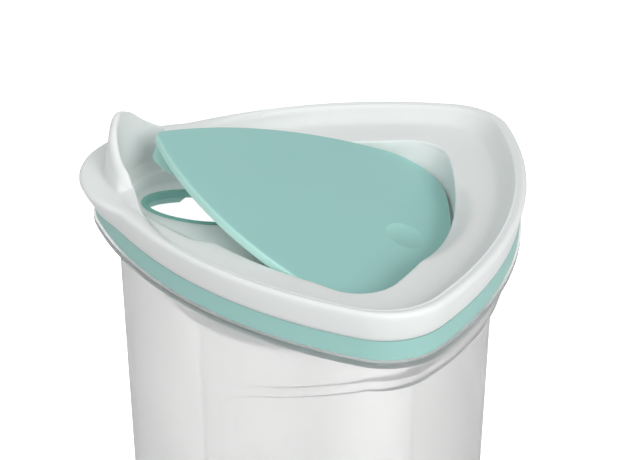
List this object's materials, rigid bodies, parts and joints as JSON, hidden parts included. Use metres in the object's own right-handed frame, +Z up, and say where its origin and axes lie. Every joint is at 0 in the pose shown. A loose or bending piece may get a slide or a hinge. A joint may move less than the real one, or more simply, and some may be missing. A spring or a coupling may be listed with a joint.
{
  "type": "formula dispenser",
  "caption": "Clear rounded-triangle powder container with a swivelling pour lid, a raised corner spout and a rocking flap that shuts its outlet.",
  "frame": {"origin": "centre of the flat base, on the axis the lid swivels about", "axes": "+Z up along the swivel axis; -X towards the pour spout; Y across, the object being mirror symmetric about the XZ plane"},
  "size_m": [0.0952, 0.0956, 0.1305],
  "materials": {
    "clear_body": "clear moulded plastic, glossy",
    "clear_insert": "clear moulded plastic, lightly frosted",
    "white_plastic": "satin",
    "teal_plastic": "satin",
    "teal_flap": "satin",
    "teal_soft": "matte silicone",
    "white_soft": "matte silicone",
    "pin_plastic": "plain"
  },
  "bodies": {
    "container": {"container": "clear_body", "divider": "clear_insert"},
    "mouth_ring": {"mouth_ring": "teal_plastic"},
    "lid": {"lid_ring": "teal_plastic", "rim_seal": "white_soft", "lid_cover": "white_plastic", "closure_plate": "white_plastic", "outlet_gasket": "teal_soft"},
    "flap": {"flap": "teal_flap", "flap_plug": "teal_soft", "hinge_pins": "pin_plastic"}
  },
  "joints": [
    {"name": "lid_lift", "type": "slide", "parent": "container", "child": "mouth_ring", "axis": [0, 0, 1], "range_m": [0, 0.05]},
    {"name": "lid_swivel", "type": "hinge", "parent": "mouth_ring", "child": "lid", "pos_m": [0, 0, 0.108], "axis": [0, 0, 1], "continuous": true},
    {"name": "flap_hinge", "type": "hinge", "parent": "lid", "child": "flap", "pos_m": [-0.00135, 0, 0.11147], "axis": [0, 1, 0], "range_deg": [-17.96, 0]}
  ]
}
